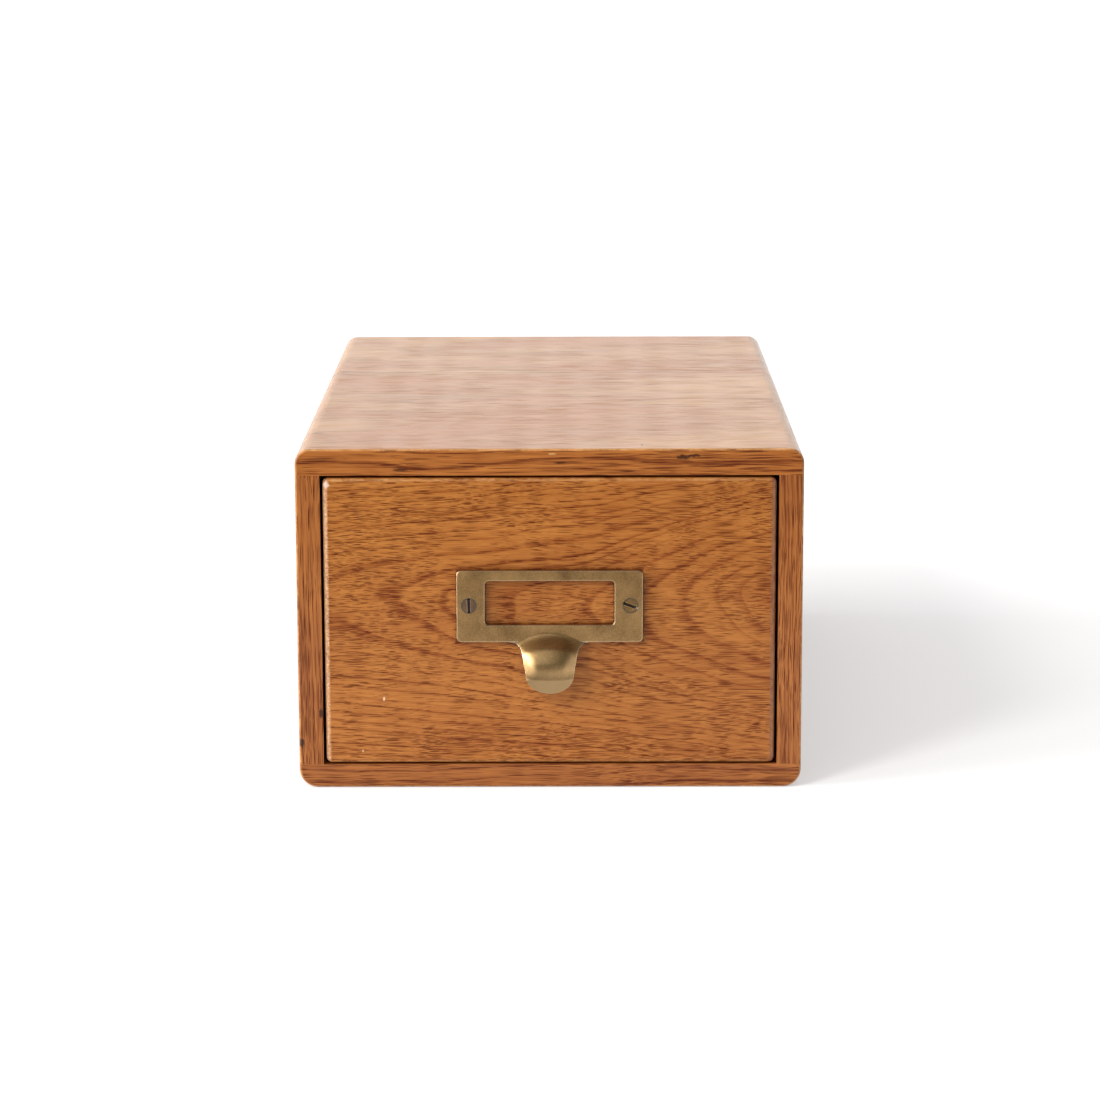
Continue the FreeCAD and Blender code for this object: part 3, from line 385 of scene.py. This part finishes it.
def front_marks(t, place, base):
    """A deep brown band close round the brass frame and just inside its window, painted shade
    deepening the board towards the right, ends speckled by rubbing with painted light on the left
    end and painted shade on the right end, and a few nicks."""
    part = add(t, "ShaderNodeSeparateXYZ", {0: place})
    outer = add(t, "ShaderNodeMapRange", {0: part.outputs["Y"], 1: WOOD_FACE + 0.0040,
                                          2: WOOD_FACE + 0.0025})
    gaps = []
    for half_width, low, high in ((FRAME_X, FRAME_LOW, FRAME_HIGH),
                                  (WINDOW_X, WINDOW_LOW, WINDOW_HIGH)):
        side = add(t, "ShaderNodeMath", {0: part.outputs["X"]}, operation="ABSOLUTE")
        side = add(t, "ShaderNodeMath", {0: side, 1: half_width}, operation="SUBTRACT")
        rise = add(t, "ShaderNodeMath", {0: part.outputs["Z"], 1: (low + high) / 2},
                   operation="SUBTRACT")
        rise = add(t, "ShaderNodeMath", {0: rise}, operation="ABSOLUTE")
        rise = add(t, "ShaderNodeMath", {0: rise, 1: (high - low) / 2}, operation="SUBTRACT")
        gaps.append(add(t, "ShaderNodeMath", {0: side, 1: rise}, operation="MAXIMUM"))
    within = add(t, "ShaderNodeMath", {0: gaps[1], 1: -1.0}, operation="MULTIPLY")
    far = add(t, "ShaderNodeMath", {0: gaps[0], 1: within}, operation="MAXIMUM")
    fray = add(t, "ShaderNodeTexNoise", {"Vector": place, "Scale": 420.0, "Detail": 3.0})
    far = add(t, "ShaderNodeMath", {0: fray, 1: 0.0016, 2: far}, operation="MULTIPLY_ADD")
    # A deep brown band close round the frame's outer edge and just inside its window, with a
    # ragged edge.
    deep_band_round_frame = add(t, "ShaderNodeMapRange", {0: far, 1: 0.0006, 2: 0.0016, 3: 0.8, 4: 0.0})
    deep_band_round_frame = add(t, "ShaderNodeMath", {0: deep_band_round_frame, 1: outer}, operation="MULTIPLY")
    base = add(t, "ShaderNodeMix", {0: deep_band_round_frame, 6: base, 7: colour("#461A06")}, data_type="RGBA")
    # Painted shade: the board is painted a deeper brown towards its right end.
    painted_shade_right = add(t, "ShaderNodeMapRange", {0: part.outputs["X"], 1: 0.0, 2: 0.09, 3: 0.0, 4: 0.17})
    base = add(t, "ShaderNodeMix", {0: painted_shade_right, 6: base, 7: colour("#6E3210")}, data_type="RGBA")
    speck = add(t, "ShaderNodeTexNoise", {"Vector": place, "Scale": 1300.0, "Detail": 2.0,
                                          "Roughness": 0.7})
    speck = add(t, "ShaderNodeMapRange", {0: speck, 1: 0.40, 2: 0.66, 3: 0.15, 4: 0.75})
    speck = add(t, "ShaderNodeMath", {0: speck, 1: outer}, operation="MULTIPLY")
    # The ends are speckled by rubbing; the left end is painted lighter as painted light, the right
    # end deeper brown as painted shade.
    for outward, code in ((-1.0, "#E8C29C"), (1.0, "#94705E")):
        end = add(t, "ShaderNodeMath", {0: part.outputs["X"], 1: outward}, operation="MULTIPLY")
        end = add(t, "ShaderNodeMapRange", {0: end, 1: FRONT_END - 0.0024,
                                            2: FRONT_END - 0.0016})
        rub_and_painted_light = add(t, "ShaderNodeMath", {0: speck, 1: end}, operation="MULTIPLY")
        base = add(t, "ShaderNodeMix", {0: rub_and_painted_light, 6: base, 7: colour(code)}, data_type="RGBA")
    for centre, size, code, strength, ragged in (
            ((-67.9, -167.5, 37.4), (0.6, 2.0, 1.1), "#ECCAA6", 0.8, 0.5),
            ((-76.8, -167.5, 15.4), (0.5, 2.0, 0.7), "#E0B88E", 0.7, 0.5),
            ((-90.3, -167.0, 126.4), (1.6, 3.0, 1.6), "#E6CDBB", 0.8, 0.8)):
        base = spot(t, place, base, centre, size, code, strength, ragged)
    return base


dress(oak("varnished flat-sawn oak", (0, 0, 2.7), (0, 84.4, -76), "#BC7836", "#8E4A18", "#5A2004",
          ring=1.5, wander=2.0, swell=4.5, marks=front_marks), "drawer_front")

# ---------------------------------------------------------------- case back and stops
# A thin oak panel screwed into a rebate, and three plain pieces that stop the drawer: two
# blocks on the floor and a strip under the top.  All are bare wood inside, pale and matt.
PALE, TAN, UMBER, BARE_END = "#CBA370", "#AC8454", "#8C643E", "#9A7046"
dress(oak("bare oak, grain across", (0, 0, 0), (30, -60, -220), PALE, TAN, UMBER, gloss=0.0,
          end_wood=BARE_END), "case_back", "closing_stop_blocks", "opening_stop_strip")

# ---------------------------------------------------------------- drawer tray
# Sides, dovetailed to the front and back, with their tops scooped for the hand, and a thin
# bottom in grooves.  Thinner and plainer oak than the front, sanded and left bare.
dress(oak("bare oak, drawer sides", (0, 0, 90), (0, 30, -210), PALE, TAN, UMBER, gloss=0.0,
          end_wood=BARE_END), "drawer_side_left", "drawer_side_right")
dress(oak("bare oak, drawer back", (0, 0, 0), (90, 40, -250), PALE, TAN, UMBER, gloss=0.0,
          end_wood=BARE_END), "drawer_back")

PLY_MIDDLE, HALF_CORE = 0.01925, 0.0007


def ply_layers(t, place, base):
    """The dark middle layer of a three-layer board, where its edge shows."""
    up = add(t, "ShaderNodeTexCoord").outputs["Normal"]
    up = add(t, "ShaderNodeSeparateXYZ", {0: up}).outputs["Z"]
    up = add(t, "ShaderNodeMath", {0: up}, operation="ABSOLUTE")
    edge = add(t, "ShaderNodeMath", {0: up, 1: 0.5}, operation="LESS_THAN")
    off = add(t, "ShaderNodeSeparateXYZ", {0: place}).outputs["Z"]
    off = add(t, "ShaderNodeMath", {0: off, 1: PLY_MIDDLE}, operation="SUBTRACT")
    off = add(t, "ShaderNodeMath", {0: off}, operation="ABSOLUTE")
    core = add(t, "ShaderNodeMapRange", {0: off, 1: HALF_CORE, 2: HALF_CORE + 0.0001, 3: 0.6,
                                         4: 0.0})
    core = add(t, "ShaderNodeMath", {0: core, 1: edge}, operation="MULTIPLY")
    return add(t, "ShaderNodeMix", {0: core, 6: base, 7: colour("#7A5A38")}, data_type="RGBA")


dress(oak("thin plywood, rotary-cut face", (0, 0, 0), (40, 70, -150), "#D8B988", "#C09A66",
          "#A88050", ring=7.0, wander=22.0, gloss=0.0, end_wood=BARE_END, marks=ply_layers),
      "drawer_bottom")

# ---------------------------------------------------------------- turn button and follower
# Small pieces of the same bare oak: the button on the drawer's back that meets the stop strip,
# and the follower's leaning plate and its foot, which years of cards and hands have darkened
# and polished a little.
dress(oak("bare oak, turn button", (0, 0, 0), (-60, 20, -170), PALE, TAN, UMBER, gloss=0.0,
          end_wood=BARE_END), "turn_button")
dress(oak("bare oak, follower", (0, 0, 0), (10, -20, -160), "#BE9058", "#9A6C3E", "#6A4222",
          gloss=0.3, end_wood=BARE_END), "follower_plate", "follower_foot")

# ---------------------------------------------------------------- label pull and its screws
# Cast brass, once lacquered, now brown with age and handling: grainy from the sand it was cast
# in, and brightened along its edges by rubbing and by a painted highlight.  Two countersunk
# screws hold it, one of them replaced by a steel one, with painted shade round and in their heads.
PULL_SCREW_X, PULL_SCREW_Z, PULL_SCREW_RADIUS = 0.03285, 0.0769, 0.0031
SCREW_FACE = -0.1703


def metal(name, bright, dull, rub_and_highlight, rough, marks=None):
    """A cast, turned or plated metal, clouded by age over about a centimetre, and brightened along
    edges by rubbing and by a painted highlight.  Its grain is drawn at 0.4 mm, coarser than
    casting sand, so that it shows."""
    material = bpy.data.materials.new(name)
    material.use_nodes = True
    t = material.node_tree
    t.nodes.clear()
    place = add(t, "ShaderNodeTexCoord").outputs["Object"]
    grain = add(t, "ShaderNodeTexNoise", {"Vector": place, "Scale": 2300.0, "Detail": 3.0,
                                          "Roughness": 0.75})
    cloud = add(t, "ShaderNodeTexNoise", {"Vector": place, "Scale": 95.0, "Detail": 3.0,
                                          "Roughness": 0.55})
    age = add(t, "ShaderNodeMath", {0: grain, 1: 1.1, 2: cloud}, operation="MULTIPLY_ADD")
    age = add(t, "ShaderNodeMapRange", {0: age, 1: 0.75, 2: 1.4})
    skin = add(t, "ShaderNodeMix", {0: age, 6: colour(dull), 7: colour(bright)},
               data_type="RGBA")
    # Edges are brightened by rubbing and by a painted highlight.
    soft = add(t, "ShaderNodeBevel", {"Radius": 0.0005}, samples=6)
    true = add(t, "ShaderNodeNewGeometry").outputs["Normal"]
    bend = add(t, "ShaderNodeVectorMath", {0: soft, 1: true}, operation="DOT_PRODUCT")
    rub_and_painted_light = add(t, "ShaderNodeMapRange", {0: bend, 1: 0.998, 2: 0.965, 3: 0.0, 4: 0.95})
    skin = add(t, "ShaderNodeMix", {0: rub_and_painted_light, 6: skin, 7: colour(rub_and_highlight)}, data_type="RGBA")
    if marks:
        skin = marks(t, place, skin)
    relief = add(t, "ShaderNodeBump", {"Height": grain, "Strength": 0.9, "Distance": 0.0001})
    gloss = add(t, "ShaderNodeMath", {0: age, 1: 0.1, 2: rough}, operation="MULTIPLY_ADD")
    gloss = add(t, "ShaderNodeMath", {0: rub_and_painted_light, 1: -0.1, 2: gloss}, operation="MULTIPLY_ADD")
    shader = add(t, "ShaderNodeBsdfPrincipled", {
        "Base Color": skin, "Roughness": gloss, "Normal": relief, "Metallic": 1.0,
        "Coat Weight": 0.6, "Coat Roughness": 0.25})
    add(t, "ShaderNodeOutputMaterial", {0: shader})
    return material


def from_screw(t, place):
    """How far a point is outside the edge of the nearer screw's head, in metres."""
    part = add(t, "ShaderNodeSeparateXYZ", {0: place})
    side = add(t, "ShaderNodeMath", {0: part.outputs["X"]}, operation="ABSOLUTE")
    across = add(t, "ShaderNodeCombineXYZ", {"X": side, "Y": part.outputs["Z"]})
    far = add(t, "ShaderNodeVectorMath", {0: across, 1: (PULL_SCREW_X, PULL_SCREW_Z, 0.0)},
              operation="DISTANCE")
    return add(t, "ShaderNodeMath", {0: far, 1: PULL_SCREW_RADIUS}, operation="SUBTRACT")


# The colour of the painted shade round and in the screw heads.
SCREW_SHADE = "#2A1C10"


def casting_marks(t, place, base):
    """The plate browner than the tongue, which fingers have kept bright, painted shade in a band
    above its ridge, a painted reflection lightening the lip below, and painted shade in the
    countersinks and just round them."""
    high = add(t, "ShaderNodeSeparateXYZ", {0: place}).outputs["Z"]
    for start, full, share, code in (
            (0.058, 0.062, 0.10, "#5A3A1A"), (0.062, 0.055, 0.12, "#F0D8A4"),
            # Painted shade in a band above the ridge, and a painted reflection lightening the lip
            # below it.
            (0.0515, 0.0488, 0.52, "#4C3618"), (0.0482, 0.0476, 0.30, "#DCC088")):
        band = add(t, "ShaderNodeMapRange", {0: high, 1: start, 2: full, 3: 0.0, 4: share})
        base = add(t, "ShaderNodeMix", {0: band, 6: base, 7: colour(code)}, data_type="RGBA")
    # Painted shade in the gap round each screw head.
    gap_shade = add(t, "ShaderNodeMapRange", {0: from_screw(t, place), 1: 0.0, 2: 0.0003, 3: 0.95,
                                         4: 0.0})
    return add(t, "ShaderNodeMix", {0: gap_shade, 6: base, 7: colour(SCREW_SHADE)}, data_type="RGBA")


def screw_head_shade(t, place, base):
    """Painted shade round the edge of a head and down in its driver slot."""
    # Painted shade at the edge of the head, where it sits in its countersink.
    rim_shade = add(t, "ShaderNodeMapRange", {0: from_screw(t, place), 1: -0.0007, 2: -0.0001, 3: 0.0,
                                        4: 0.8})
    back = add(t, "ShaderNodeSeparateXYZ", {0: place}).outputs["Y"]
    slot = add(t, "ShaderNodeMapRange", {0: back, 1: SCREW_FACE + 0.0001, 2: SCREW_FACE + 0.0004,
                                         3: 0.0, 4: 0.92})
    rim_and_slot_shade = add(t, "ShaderNodeMath", {0: rim_shade, 1: slot}, operation="MAXIMUM")
    return add(t, "ShaderNodeMix", {0: rim_and_slot_shade, 6: base, 7: colour(SCREW_SHADE)}, data_type="RGBA")


cast_brass = metal("aged cast brass", "#D2A668", "#886638", "#FCECC8", 0.28,
                   marks=casting_marks)

# The casting's tongue is crowned: below its middle its front rounds back, by about a millimetre
# at the ridge over its lip.  It is cut into bands there and eased back towards the wood.
CROWN_TOP, RIDGE, CROWN = 0.0550, 0.0482, 0.085
BAND, BANDS = 0.0005, 14
SAME_POINT, ON_CUT = 1e-6, 2e-5
CREASE = math.radians(32)
pull = bpy.data.objects.new("brass_label_pull", nodes["label_pull"].data.copy())
bpy.context.scene.collection.objects.link(pull)
casting = bmesh.new()
casting.from_mesh(pull.data)
bmesh.ops.remove_doubles(casting, verts=casting.verts, dist=SAME_POINT)
for band in range(BANDS):
    bmesh.ops.bisect_plane(casting, geom=casting.verts[:] + casting.edges[:] + casting.faces[:],
                           dist=ON_CUT, plane_co=(0, 0, CROWN_TOP - band * BAND),
                           plane_no=(0, 0, 1))
bmesh.ops.triangulate(casting, faces=casting.faces[:])
for vert in casting.verts:
    low = min(max((CROWN_TOP - vert.co.z) / (CROWN_TOP - RIDGE), 0.0), 1.0)
    vert.co.y += (WOOD_FACE - vert.co.y) * CROWN * low ** 2
casting.to_mesh(pull.data)
casting.free()
bpy.ops.object.select_all(action="DESELECT")
pull.select_set(True)
bpy.context.view_layer.objects.active = pull
bpy.ops.mesh.customdata_custom_splitnormals_clear()
bpy.ops.object.shade_smooth_by_angle(angle=CREASE)
level_faces = pull.modifiers.new("level_faces", "WEIGHTED_NORMAL")
level_faces.keep_sharp = True
bpy.ops.object.modifier_apply(modifier=level_faces.name)
pull.material_slots[0].material = cast_brass
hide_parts("label_pull")
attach(pull, "drawer")

dress(metal("old brass screw", "#B08850", "#6A4A28", "#C8A468", 0.34, marks=screw_head_shade),
      "pull_screw_right")
dress(metal("tarnished steel screw", "#9C7A5C", "#5E4430", "#C8A888", 0.34, marks=screw_head_shade),
      "pull_screw_left")

# ---------------------------------------------------------------- inner fittings
# The wing nut and the turn button's screw and washer are brass, yellow and cleaner than the
# pull.  The other screws, the pins and the follower's bolt, washer and clamp plate are steel
# with a dull grey coat of zinc.
brass = metal("turned brass", "#CDA468", "#9A7444", "#E8C592", 0.3)
dress(brass, "wing_nut", "button_screw", "button_washer")
steel = metal("dull zinc-plated steel", "#A8A49C", "#6E6A62", "#CFCBC4", 0.36)
dress(steel, "case_back_screws", "drawer_bottom_pins", "follower_screws",
      "follower_bolt", "follower_clamp_plate", "follower_washer")
